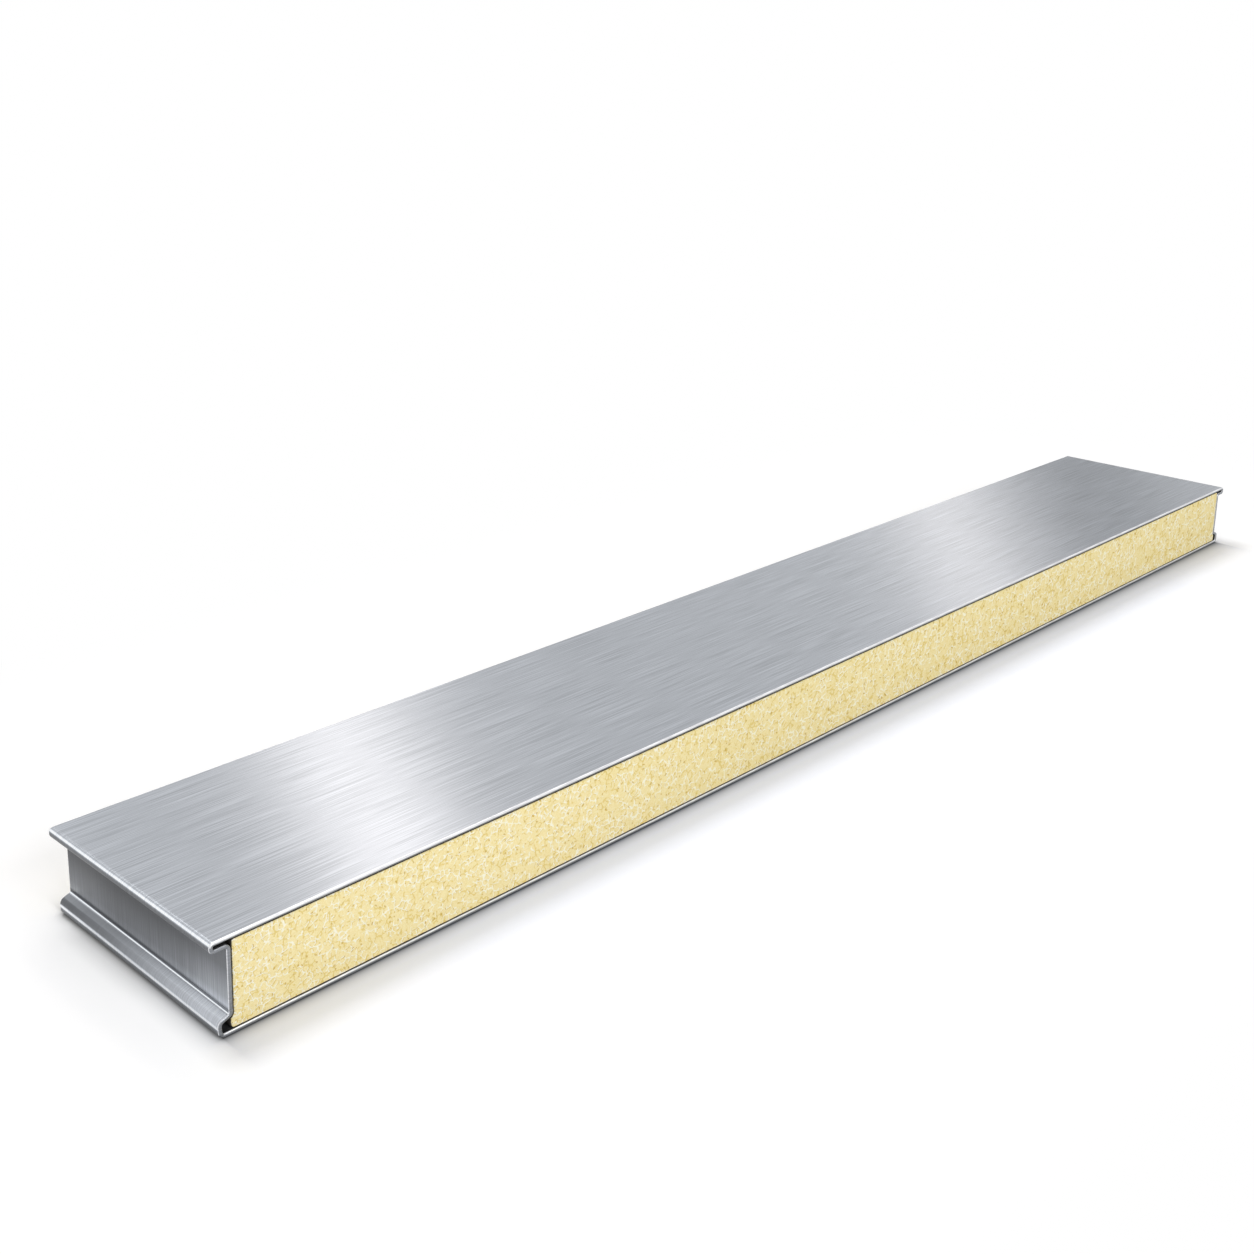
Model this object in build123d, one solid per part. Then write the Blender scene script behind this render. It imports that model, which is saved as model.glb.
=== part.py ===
from build123d import *
from math import copysign
import os

# Insulated sandwich panel, lying flat: a strip cut across the cover width of a wall panel.
# Two roll-formed steel skins hold a rigid foam core. The two short ends carry the factory
# edge, a groove between two hollow lips that takes a joining profile, and the two long
# sides are saw cuts that show the foam. Millimetres, +X across the cover width, +Z up,
# origin at the middle of the underside.

# Overall size
panel_length = 1000.0
panel_width = 150.0
panel_thickness = 50.0

# Steel skins
sheet = 2.1
web_bend_radius = 0.9

# Hollow lip of the top skin, a flat fold
top_lip_depth = 8.6
top_nose_radius = 2.7
top_nose_flat = 0.6

# Hollow lip of the bottom skin, a taller roll under a sloping leaf
bottom_lip_depth = 6.3
bottom_lip_height = 10.8
bottom_lip_fall = 2.4
bottom_nose_upper_radius = 4.0
bottom_nose_lower_radius = 3.2

# Butt seam between the two skins, just above the foot of the web
seam_above_foot = 1.4
seam_gap = 0.15

# Foam core
bond_line = 0.1
core_top_radius = 1.6
core_bottom_radius = 2.6
core_bulge = 2.0
core_bulge_top = 1.2
core_bulge_slope = 2.2
core_bulge_radius = 0.9

half_length = panel_length / 2
top_lip_underside = panel_thickness - 2 * top_nose_radius - top_nose_flat
seam_height = bottom_lip_height + seam_above_foot


def web_depth(height):
    """Depth of the web's outer face behind the noses of the lips, at a height."""
    share = (height - bottom_lip_height) / (top_lip_underside - bottom_lip_height)
    return bottom_lip_depth + share * (top_lip_depth - bottom_lip_depth)


def both_ends(edge_points):
    """One end's points, given as depth from the nose and height, then the other end's."""
    left = [(depth - half_length, height) for depth, height in edge_points]
    right = [(half_length - depth, height) for depth, height in reversed(edge_points)]
    return left + right


def beside(corners, radii, distance):
    """Corners and radii of the path that runs to the left of another one, at a distance."""
    places = [Vector(*corner) for corner in corners]
    ways = [(after - before).normalized() for before, after in zip(places, places[1:])]
    lefts = [way.rotate(Axis.Z, 90) for way in ways]
    shifts = [(a + b) / (1 + a.dot(b)) for a, b in zip(lefts, lefts[1:])]
    shifts = [lefts[0]] + shifts + [lefts[-1]]
    moved = [place + shift * distance for place, shift in zip(places, shifts)]
    turns = [a.cross(b).Z for a, b in zip(ways, ways[1:])]
    eased = [radius - distance * copysign(1, turn) for radius, turn in zip(radii, turns)]
    return moved, eased


def folded_sheet(edge_points, edge_radii, inward):
    """A sheet bent along its outer face, lying to the left of it where inward is positive."""
    corners = both_ends(edge_points)
    radii = edge_radii + edge_radii[::-1]
    outer_face = FilletPolyline(*corners, radius=radii)
    inner_corners, inner_radii = beside(corners, radii, inward)
    inner_face = FilletPolyline(*inner_corners, radius=inner_radii)
    near_end = Line(outer_face @ 0, inner_face @ 0)
    far_end = Line(outer_face @ 1, inner_face @ 1)
    section = Plane.XZ * make_face([outer_face, far_end, inner_face, near_end])
    return extrude(section, amount=panel_width / 2, both=True)


def make_top_skin():
    """Web up from the seam, under the lip, round its nose and over the top."""
    flange_end = seam_height + seam_gap
    edge_points = [
        (web_depth(flange_end), flange_end),
        (top_lip_depth, top_lip_underside),
        (0, top_lip_underside),
        (0, panel_thickness),
    ]
    edge_radii = [web_bend_radius, top_nose_radius, top_nose_radius]
    return folded_sheet(edge_points, edge_radii, -sheet)


def make_bottom_skin():
    """Flange down from the seam, out along the lip's leaf, round its nose and under."""
    edge_points = [
        (web_depth(seam_height), seam_height),
        (bottom_lip_depth, bottom_lip_height),
        (0, bottom_lip_height - bottom_lip_fall),
        (0, 0),
    ]
    edge_radii = [web_bend_radius, bottom_nose_upper_radius, bottom_nose_lower_radius]
    return folded_sheet(edge_points, edge_radii, sheet)


def make_foam_core():
    """Foam between the webs, bulging a little under the foot of each web."""
    to_foam = sheet + bond_line
    bulge_top = bottom_lip_height - core_bulge_top
    bulge_depth = bottom_lip_depth + to_foam - core_bulge
    edge_points = [
        (bulge_depth, to_foam),
        (bulge_depth, bulge_top - core_bulge_slope),
        (web_depth(bulge_top) + to_foam, bulge_top),
        (web_depth(panel_thickness) + to_foam, panel_thickness - to_foam),
    ]
    radii = [core_bottom_radius, core_bulge_radius, core_bulge_radius, core_top_radius]
    outline = FilletPolyline(*both_ends(edge_points), radius=radii + radii[::-1], close=True)
    section = Plane.XZ * make_face(outline)
    return extrude(section, amount=panel_width / 2, both=True)


nodes = {
    "top_skin": make_top_skin(),
    "bottom_skin": make_bottom_skin(),
    "foam_core": make_foam_core(),
}

os.makedirs("parts", exist_ok=True)
for name, solid in nodes.items():
    export_step(solid, f"parts/{name}.step")
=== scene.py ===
"""Looks of an insulated sandwich panel: two brushed steel skins on a rigid foam core.

The panel lies flat, with X across its cover width and Z up. Its two short ends carry the
roll-formed edge, and its two long sides are saw cuts that show the foam. Metres throughout.
"""

import logging
import math
from dataclasses import dataclass
from enum import Enum

import bpy
import numpy as np
from mathutils import Matrix, Vector, noise


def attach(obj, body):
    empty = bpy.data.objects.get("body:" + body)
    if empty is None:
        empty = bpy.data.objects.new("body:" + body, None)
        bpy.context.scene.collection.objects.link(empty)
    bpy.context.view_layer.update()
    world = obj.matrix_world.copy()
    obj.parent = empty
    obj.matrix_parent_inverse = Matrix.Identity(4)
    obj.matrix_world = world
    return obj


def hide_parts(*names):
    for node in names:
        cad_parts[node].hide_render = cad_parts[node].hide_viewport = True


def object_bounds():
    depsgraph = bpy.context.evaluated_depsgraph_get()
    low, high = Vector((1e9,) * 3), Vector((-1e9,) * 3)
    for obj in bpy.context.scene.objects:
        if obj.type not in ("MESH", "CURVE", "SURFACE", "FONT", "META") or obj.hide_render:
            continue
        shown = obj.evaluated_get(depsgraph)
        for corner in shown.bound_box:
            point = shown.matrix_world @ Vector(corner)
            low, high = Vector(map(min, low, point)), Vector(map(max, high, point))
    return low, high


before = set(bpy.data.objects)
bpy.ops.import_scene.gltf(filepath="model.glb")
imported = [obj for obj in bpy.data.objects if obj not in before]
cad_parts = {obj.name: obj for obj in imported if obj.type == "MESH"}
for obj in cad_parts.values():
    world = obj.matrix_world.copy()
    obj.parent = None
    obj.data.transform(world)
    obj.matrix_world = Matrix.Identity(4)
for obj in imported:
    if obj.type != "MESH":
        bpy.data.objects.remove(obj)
CAD_LOW, CAD_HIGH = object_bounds()

MM = 0.001

# Names of the meshes' coordinates and values, which the finishes read.
BRUSH_UV = "brush"
SHADE = "shade"
STILLNESS = "stillness"
CORE = "core"
# The foam's rims next to the steel, which take a painted shadow line.
RIM_SHADOW = "bond"

# The whole range of a share, the ranges of most and of the middle of a noise, and its mean.
UNIT = (0.0, 1.0)
MOST_NOISE = (0.2, 0.8)
MIDDLE_NOISE = (0.35, 0.65)
NOISE_MEAN = 0.5

log = logging.getLogger("panel")

Socket = bpy.types.NodeSocket
Inputs = dict[str | int, object]
Flat = tuple[float, float]
Place = tuple[float, float, float]
Tone = tuple[float, float, float, float]


class Slot(Enum):
    """The record's material slots."""

    SKIN_STEEL = "skin_steel"
    CORE_FOAM = "core_foam"


class SheetSide(Enum):
    """The side of a skin's outer face on which its sheet lies, along the way of the path."""

    LEFT = 1.0
    RIGHT = -1.0


class Surface(Enum):
    """The places of the three finishes in a skin's material slots."""

    BRUSHED = 0
    SAWN = 1
    BACKED = 2


@dataclass(frozen=True)
class Corner:
    """A corner of a section, and the radius that rounds it."""

    x: float
    z: float
    radius: float = 0.0

    def place(self) -> Vector:
        """The corner as a flat vector."""
        return Vector((self.x, self.z))


@dataclass(frozen=True)
class SectionPoint:
    """A point of a section, and the unit normal there.

    inner tells whether it lies on a sheet's inner face, and spare is the most that a rounded
    cut may draw it in.
    """

    place: Vector
    normal: Vector
    inner: bool = False
    spare: float = 1.0


Path = list[SectionPoint]


def left_of(way: Vector) -> Vector:
    """The direction to the left of a way, in the section's plane."""
    return Vector((-way.y, way.x))


def turned(way: Vector, angle: float) -> Vector:
    """Turn a way to the left.

    Args:
        way: The way to turn.
        angle: How far, in radians.

    Returns:
        The turned way.
    """
    cosine = math.cos(angle)
    sine = math.sin(angle)
    return Vector((way.x * cosine - way.y * sine, way.x * sine + way.y * cosine))


def rounded_corner(before: Vector, corner: Corner, after: Vector, step: float) -> Path:
    """Sample the arc that rounds one corner of a path.

    Args:
        before: The path's corner before this one.
        corner: The corner to round.
        after: The path's corner after this one.
        step: The largest turn between two samples, in radians.

    Returns:
        The arc's points in path order, with normals to the left of the path.
    """
    way_in = (corner.place() - before).normalized()
    way_out = (after - corner.place()).normalized()
    turn = math.atan2(way_in.x * way_out.y - way_in.y * way_out.x, way_in.dot(way_out))
    hand = math.copysign(1.0, turn)
    tangent_length = corner.radius * math.tan(abs(turn) / 2)
    centre = corner.place() - way_in * tangent_length + left_of(way_in) * (hand * corner.radius)
    steps = max(1, math.ceil(abs(turn) / step))
    points = []
    for index in range(steps + 1):
        normal = left_of(turned(way_in, turn * index / steps))
        points.append(SectionPoint(centre - normal * (hand * corner.radius), normal))
    return points


def rounded_path(corners: list[Corner], step: float) -> Path:
    """Sample an open path whose inner corners are rounded.

    Args:
        corners: The path's corners, its two ends included.
        step: The largest turn between two samples of an arc, in radians.

    Returns:
        The path's points in order, with normals to the left of the path.
    """
    places = [corner.place() for corner in corners]
    first_way = (places[1] - places[0]).normalized()
    last_way = (places[-1] - places[-2]).normalized()
    points = [SectionPoint(places[0], left_of(first_way))]
    for index in range(1, len(corners) - 1):
        points += rounded_corner(places[index - 1], corners[index], places[index + 1], step)
    points.append(SectionPoint(places[-1], left_of(last_way)))
    return points


# Painted shade and painted highlights, as factors on the steel's tone: shade in the groove and
# under the top lip, and bright lines on the noses and the foot. The noses, the foot and the leaf go by
# how far the face turns outward in degrees, the web by its height as a share, the lower nose by its
# height in millimetres, and a painted sheen by how near the front cut is, from 0 to 1.
TOP_NOSE_SHADES = (
    (0, 1.0), (6, 0.62), (12, 0.74), (18, 0.86), (30, 0.92), (37, 1.2),
    (44, 2.1), (61, 2.1), (69, 0.6), (85, 0.32), (110, 0.22),
)
UNDER_LIP_SHADE = 0.22
WEB_SHADES = (
    (0.03, 0.32), (0.06, 0.32), (0.095, 0.74), (0.22, 0.50), (0.52, 0.31), (0.67, 0.21), (1.0, 0.15),
)
WEB_SHEEN = ((0.10, 0.82), (0.35, 0.67), (0.60, 0.83), (0.75, 1.02), (0.95, 1.75))
FOOT_SHADES = ((20, 1.0), (30, 2.0), (55, 2.0), (80, 0.3))
LEAF_SHADES = ((21.5, 0.78), (26.5, 0.55), (32, 0.505), (38, 0.485), (46, 0.47), (75, 0.48))
LEAF_SHEEN = ((0.10, 0.62), (0.33, 0.84), (0.60, 1.5), (0.90, 2.25))
BOTTOM_NOSE_SHADES = (
    (0.0, 0.05), (1.6, 0.13), (2.6, 0.24), (3.6, 0.33), (4.4, 0.50), (4.9, 2.1), (5.9, 2.1), (6.5, 0.95),
)

# Where one of these faces gives over to the next: degrees of turning outward, and shares of
# the radius of the web's bends.
SIDEWAYS_DEG = 90
LEAF_END_DEG = 75
WEB_START = 0.9
FOOT_REACH = 1.2

# How dark a sheet's cut edge is: 0 at its bright borders and 1 in its grey core; 2 where it stands
# on the floor, which is painted shade; and less along the faces that look up, which is painted light.
TOP_CUT = 0.40
INNER_FOOT_CUT = 0.5
FLOOR_CUT = 2.0
FLOOR_CUT_RISE = 0.85
FACING_UP = 0.3
FOOT_CUT_HEIGHT = 1.1

# How far a normal rises where the brushing starts to be wiped out.
BRUSHED_FACE = 0.999


@dataclass(frozen=True)
class EdgeProfile:
    """The panel's roll-formed edge: a web behind two hollow lips, mirrored at the far end."""

    half_length: float
    half_width: float
    thickness: float
    sheet: float = 2.1 * MM
    web_bend_radius: float = 0.9 * MM
    top_lip_depth: float = 8.6 * MM
    top_lip_height: float = 6.0 * MM
    top_nose_radius: float = 2.7 * MM
    bottom_lip_depth: float = 6.3 * MM
    bottom_lip_height: float = 10.8 * MM
    bottom_lip_fall: float = 2.4 * MM
    bottom_nose_upper_radius: float = 4.0 * MM
    bottom_nose_lower_radius: float = 3.2 * MM
    seam_above_foot: float = 1.4 * MM
    seam_gap: float = 0.15 * MM
    arc_step: float = math.radians(6)
    stop_spacing: float = 0.8 * MM
    longest_face: float = 60 * MM

    @property
    def top_lip_underside(self) -> float:
        """Height of the underside of the top lip."""
        return self.thickness - self.top_lip_height

    @property
    def seam_height(self) -> float:
        """Height of the butt seam between the two skins."""
        return self.bottom_lip_height + self.seam_above_foot

    def web_depth(self, height: float) -> float:
        """Depth of the web's outer face behind the noses, at a height."""
        share = (height - self.bottom_lip_height) / (self.top_lip_underside - self.bottom_lip_height)
        return self.bottom_lip_depth + share * (self.top_lip_depth - self.bottom_lip_depth)

    def with_stops(self, points: Path) -> Path:
        """Add points on the short straight faces of a path, for what changes along them.

        Args:
            points: The path's points.

        Returns:
            The path's points with the added ones.
        """
        filled = [points[0]]
        for point in points[1:]:
            before = filled[-1]
            length = (point.place - before.place).length
            parts = math.ceil(length / self.stop_spacing) if length < self.longest_face else 1
            for index in range(1, parts):
                place = before.place.lerp(point.place, index / parts)
                filled.append(SectionPoint(place, point.normal))
            filled.append(point)
        return filled

    def folded(self, edge: list[Corner]) -> Path:
        """The path through one end's corners and the other end's.

        Args:
            edge: The near end's corners, whose x is the depth behind the noses.

        Returns:
            The points of the path, from the near end to the far one.
        """
        near = [Corner(c.x - self.half_length, c.z, c.radius) for c in edge]
        far = [Corner(self.half_length - c.x, c.z, c.radius) for c in reversed(edge)]
        return self.with_stops(rounded_path(near + far, self.arc_step))

    def top_face(self) -> Path:
        """The top skin's outer face.

        Returns:
            The points of its path, from the seam at the near end to the far one.
        """
        flange_end = self.seam_height + self.seam_gap
        return self.folded([
            Corner(self.web_depth(flange_end), flange_end),
            Corner(self.top_lip_depth, self.top_lip_underside, self.web_bend_radius),
            Corner(0.0, self.top_lip_underside, self.top_nose_radius),
            Corner(0.0, self.thickness, self.top_nose_radius),
        ])

    def bottom_face(self) -> Path:
        """The bottom skin's outer face.

        Returns:
            The points of its path, from the seam at the near end to the far one.
        """
        return self.folded([
            Corner(self.web_depth(self.seam_height), self.seam_height),
            Corner(self.bottom_lip_depth, self.bottom_lip_height, self.web_bend_radius),
            Corner(0.0, self.bottom_lip_height - self.bottom_lip_fall, self.bottom_nose_upper_radius),
            Corner(0.0, 0.0, self.bottom_nose_lower_radius),
        ])

    def shade(self, point: SectionPoint, y: float) -> float:
        """Painted shade and painted highlights at a place of a skin, with 1 for the flat faces.

        Args:
            point: A point of a skin's section with its outward normal.
            y: The place along the lips.

        Returns:
            Less than 1 where shade is painted, and more where a highlight is painted.
        """
        depth = self.half_length - abs(point.place.x)
        height = point.place.y
        if depth > self.top_lip_depth + self.web_bend_radius:
            return 1.0
        sideways = point.normal.x * math.copysign(1.0, point.place.x)
        outward = math.degrees(math.atan2(sideways, point.normal.y))
        front = 0.5 - y / (2 * self.half_width)
        if height > self.top_lip_underside - self.web_bend_radius:
            under_lip = depth > self.top_nose_radius and outward > SIDEWAYS_DEG
            return UNDER_LIP_SHADE if under_lip else self.along(outward, TOP_NOSE_SHADES)
        if height > self.bottom_lip_height + self.web_bend_radius * WEB_START:
            rise = (height - self.bottom_lip_height) / (self.top_lip_underside - self.bottom_lip_height)
            return self.along(rise, WEB_SHADES) * self.along(front, WEB_SHEEN)
        if depth > self.bottom_lip_depth - self.web_bend_radius * FOOT_REACH and outward > 0:
            return self.along(outward, FOOT_SHADES)
        if outward < LEAF_END_DEG:
            return self.along(outward, LEAF_SHADES) * self.along(front, LEAF_SHEEN)
        return self.along(height / MM, BOTTOM_NOSE_SHADES)

    @staticmethod
    def along(value: float, table: tuple[Flat, ...]) -> float:
        """The value read from a list of pairs in rising order, held at its ends."""
        return float(np.interp(value, [pair[0] for pair in table], [pair[1] for pair in table]))

    def cut_core(self, point: SectionPoint, tilt: float) -> float:
        """How dark a cut edge is, from 0 at its bright borders to 2 in the painted shade where it stands on
        the floor.

        Args:
            point: A point of a skin's section with its outward normal.
            tilt: How far the sheet's edge has turned into the cut there, up to 1.

        Returns:
            The share of the core's grey, and above 1 that of the painted shade at the foot; less on faces
            that look up, as painted light.
        """
        height = point.place.y
        rising = point.normal.y > FACING_UP
        if height > self.thickness - self.sheet and rising and not point.inner:
            return tilt * TOP_CUT
        if height < self.sheet * FOOT_CUT_HEIGHT and rising:
            return tilt * INNER_FOOT_CUT
        if height < self.sheet and point.normal.y < -FACING_UP and not point.inner:
            return FLOOR_CUT - tilt * FLOOR_CUT_RISE
        return tilt

    def stillness(self, point: SectionPoint) -> float:
        """How far the forming wiped the brushing out at a place of a skin.

        Args:
            point: A point of a skin's section with its outward normal.

        Returns:
            1 on the narrow faces of the edge, and 0 on the flat faces.
        """
        depth = self.half_length - abs(point.place.x)
        at_edge = depth < self.top_lip_depth + self.web_bend_radius
        return 1.0 if at_edge and point.normal.y < BRUSHED_FACE else 0.0


def colour(red: float, green: float, blue: float) -> Tone:
    """An opaque linear colour."""
    return (red, green, blue, 1.0)


WHITE = colour(1.0, 1.0, 1.0)
BLACK = colour(0.0, 0.0, 0.0)
NOWHERE = (0.0, 0.0, 0.0)


class NodeSheet:
    """Adds nodes to one tree and joins them, so that a finish reads as a recipe."""

    def __init__(self, tree: bpy.types.NodeTree) -> None:
        """Start with the tree emptied."""
        self.tree = tree
        self.tree.nodes.clear()

    @classmethod
    def for_material(cls, name: str) -> tuple[bpy.types.Material, "NodeSheet"]:
        """Start a node material.

        Args:
            name: The material's name.

        Returns:
            The material, and the sheet for its nodes.
        """
        material = bpy.data.materials.new(name)
        material.use_nodes = True
        return material, cls(material.node_tree)

    def feed(self, socket: Socket, value: object) -> None:
        """Link an output to a socket, or set the socket to a constant.

        Args:
            socket: The input to feed.
            value: An output or a constant.
        """
        if isinstance(value, Socket):
            self.tree.links.new(value, socket)
        else:
            socket.default_value = value

    def add(self, kind: str, inputs: Inputs | None = None, **settings: object) -> bpy.types.Node:
        """Add a node.

        Args:
            kind: Blender's name for the node's type, without ShaderNode in front.
            inputs: A constant or an output for each input, by its name or number.
            settings: The node's own properties.

        Returns:
            The new node.
        """
        node = self.tree.nodes.new(f"ShaderNode{kind}")
        for name, value in settings.items():
            setattr(node, name, value)
        for name, value in (inputs or {}).items():
            self.feed(node.inputs[name], value)
        return node

    def place(self) -> Socket:
        """The place in the object's own frame."""
        return self.add("TexCoord").outputs["Object"]

    def attribute(self, name: str) -> Socket:
        """A value that is stored on the mesh's points."""
        return self.add("Attribute", attribute_name=name).outputs["Fac"]

    def math(self, operation: str, first: object, second: object = 0.0) -> Socket:
        """The result of a Math node on two values."""
        return self.add("Math", {0: first, 1: second}, operation=operation).outputs[0]

    def weighted(self, first: Socket, share: float, second: Socket, other_share: float) -> Socket:
        """The sum of two values, each times its share."""
        part = self.math("MULTIPLY", first, share)
        return self.math("ADD", part, self.math("MULTIPLY", second, other_share))

    def vector_math(self, operation: str, first: object, second: object) -> Socket:
        """The result of a Vector Math node on two vectors."""
        return self.add("VectorMath", {0: first, 1: second}, operation=operation).outputs["Vector"]

    def scaled(self, vector: Socket, factor: Socket) -> Socket:
        """A vector times a number."""
        return self.add("VectorMath", {0: vector, "Scale": factor}, operation="SCALE").outputs["Vector"]

    def split(self, vector: Socket) -> tuple[Socket, Socket, Socket]:
        """The X, Y and Z of a vector."""
        outputs = self.add("SeparateXYZ", {"Vector": vector}).outputs
        return outputs["X"], outputs["Y"], outputs["Z"]

    def mix(self, share: object, first: object, second: object, blend: str = "MIX") -> Socket:
        """Mix two colours.

        Args:
            share: The second colour's part, from 0 to 1.
            first: The first colour.
            second: The second colour.
            blend: How the second colour is laid on the first.

        Returns:
            The mixed colour.
        """
        inputs = {0: share, 6: first, 7: second}
        node = self.add("Mix", inputs, data_type="RGBA", blend_type=blend, clamp_result=False)
        return node.outputs[2]

    def remap(self, value: Socket, source: Flat, target: Flat = UNIT, smooth: bool = True) -> Socket:
        """Carry a value from one range to another.

        Args:
            value: The value to carry over.
            source: The range that it comes from.
            target: The range that it goes to.
            smooth: Whether the way there eases in and out.

        Returns:
            The value in the target range, held at its ends.
        """
        inputs = {"Value": value, "From Min": source[0], "From Max": source[1]}
        inputs |= {"To Min": target[0], "To Max": target[1]}
        easing = "SMOOTHSTEP" if smooth else "LINEAR"
        return self.add("MapRange", inputs, interpolation_type=easing).outputs["Result"]

    def clouds(self, place: Socket, scale: float, detail: float, **more: float) -> bpy.types.Node:
        """A noise texture's node, with more of its inputs by their names."""
        return self.add("TexNoise", {"Vector": place, "Scale": scale, "Detail": detail, **more})

    def bump(self, height: Socket, strength: float, depth: float) -> Socket:
        """The normals of a relief."""
        inputs = {"Strength": strength, "Distance": depth, "Height": height}
        return self.add("Bump", inputs).outputs["Normal"]

    def show(self, shader: Socket) -> None:
        """Take a shader as the material's surface."""
        self.add("OutputMaterial", {"Surface": shader})


class Finish:
    """A finish of a piece, named after its class."""

    def recipe(self, sheet: NodeSheet) -> Inputs:
        """Put the finish's nodes on a sheet.

        Args:
            sheet: The material's nodes.

        Returns:
            The inputs of its Principled shader, by their names.
        """
        raise NotImplementedError

    def build(self) -> bpy.types.Material:
        """Make the material.

        Returns:
            The material with its nodes.
        """
        material, sheet = NodeSheet.for_material(type(self).__name__)
        sheet.show(sheet.add("BsdfPrincipled", self.recipe(sheet)).outputs["BSDF"])
        return material


@dataclass(frozen=True)
class BrushedSteel(Finish):
    """Steel brushed along the section: on top along X, and up the web."""

    light_tone: Tone = colour(0.540, 0.566, 0.609)
    dark_tone: Tone = colour(0.358, 0.377, 0.406)
    brightest: Place = (0.97, 0.97, 0.97)
    streak_range: float = 0.115
    still_streaks: float = 0.75
    roughness: float = 0.356
    roughness_spread: float = 0.03
    anisotropy: float = 1.0
    still_anisotropy: float = 0.3
    fine_pitch: float = 0.42 * MM
    fine_length: float = 58 * MM
    fine_share: float = 0.87
    broad_pitch: float = 1.9 * MM
    broad_length: float = 200 * MM
    groove_strength: float = 0.12
    groove_depth: float = 0.02 * MM

    def streaks(self, sheet: NodeSheet, brush: Socket, pitch: float, length: float) -> Socket:
        """Noise in streaks.

        Args:
            sheet: The material's nodes.
            brush: Coordinates whose v goes along the streaks.
            pitch: The width of a streak.
            length: The length of a streak.

        Returns:
            The noise.
        """
        stretched = sheet.add("Mapping", {"Vector": brush, "Scale": (1 / pitch, 1 / length, 1.0)})
        inputs = {"Vector": stretched.outputs["Vector"], "Scale": 1.0, "Detail": 3.0, "Roughness": 0.6}
        return sheet.add("TexNoise", inputs, noise_dimensions="2D").outputs["Fac"]

    def recipe(self, sheet: NodeSheet) -> Inputs:
        """Streaks in the tone, the roughness and the relief of the steel, with painted shade and highlights
        on its tone.

        Args:
            sheet: The material's nodes.

        Returns:
            The shader's inputs.
        """
        brush = sheet.add("UVMap", uv_map=BRUSH_UV).outputs["UV"]
        fine = self.streaks(sheet, brush, self.fine_pitch, self.fine_length)
        broad = self.streaks(sheet, brush, self.broad_pitch, self.broad_length)
        blend = sheet.weighted(fine, self.fine_share, broad, 1 - self.fine_share)
        still = sheet.attribute(STILLNESS)
        contrast = sheet.remap(still, UNIT, (1.0, self.still_streaks), smooth=False)
        lively = sheet.math("MULTIPLY", sheet.math("SUBTRACT", blend, NOISE_MEAN), contrast)
        share = sheet.remap(lively, (-self.streak_range, self.streak_range), smooth=False)
        tone = sheet.mix(share, self.dark_tone, self.light_tone)
        # The skins' painted shade and painted highlights scale the tone.
        shaded = sheet.scaled(tone, sheet.attribute(SHADE))
        spread = (self.roughness - self.roughness_spread, self.roughness + self.roughness_spread)
        grooves = sheet.math("MULTIPLY", fine, contrast)
        tangent = sheet.add("Tangent", direction_type="UV_MAP", uv_map=BRUSH_UV)
        return {
            "Base Color": sheet.vector_math("MINIMUM", shaded, self.brightest),
            "Metallic": 1.0,
            "Roughness": sheet.remap(fine, MOST_NOISE, spread, smooth=False),
            "Anisotropic": sheet.remap(still, UNIT, (self.anisotropy, self.still_anisotropy), smooth=False),
            "Tangent": tangent.outputs["Tangent"],
            "Normal": sheet.bump(grooves, self.groove_strength, self.groove_depth),
        }


@dataclass(frozen=True)
class SawnSteel(Finish):
    """The cut edge of a sheet: a grey core between bright, rounded borders, with saw marks and painted shade
    at its foot.
    """

    border_tone: Tone = colour(0.90, 0.91, 0.93)
    core_tone: Tone = colour(0.27, 0.285, 0.31)
    floor_shade_tone: Tone = colour(0.085, 0.088, 0.095)
    mark_tone: Tone = colour(0.80, 0.80, 0.81)
    core_starts: Flat = (0.30, 0.85)
    floor_shade_starts: Flat = (1.0, 1.5)
    roughness: Flat = (0.28, 0.40)
    mark_pitch: float = 0.9 * MM
    mark_length: float = 12.6 * MM
    mark_strength: float = 0.08
    mark_depth: float = 0.02 * MM

    def recipe(self, sheet: NodeSheet) -> Inputs:
        """The tones of borders, core and the painted shade at the foot, with saw marks over them.

        Args:
            sheet: The material's nodes.

        Returns:
            The shader's inputs.
        """
        stretch = (1 / self.mark_length, 1.0, 1 / self.mark_pitch)
        stretched = sheet.add("Mapping", {"Vector": sheet.place(), "Scale": stretch})
        marks = sheet.clouds(stretched.outputs["Vector"], scale=1.0, detail=3.0).outputs["Fac"]
        core = sheet.attribute(CORE)
        tone = sheet.mix(sheet.remap(core, self.core_starts), self.border_tone, self.core_tone)
        tone = sheet.mix(sheet.remap(core, self.floor_shade_starts), tone, self.floor_shade_tone)
        marked = sheet.mix(1.0, tone, self.mark_tone, "MULTIPLY")
        return {
            "Base Color": sheet.mix(sheet.remap(marks, MIDDLE_NOISE), marked, tone),
            "Metallic": 1.0,
            "Roughness": sheet.remap(marks, MOST_NOISE, self.roughness, smooth=False),
            "Normal": sheet.bump(marks, self.mark_strength, self.mark_depth),
        }


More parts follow.
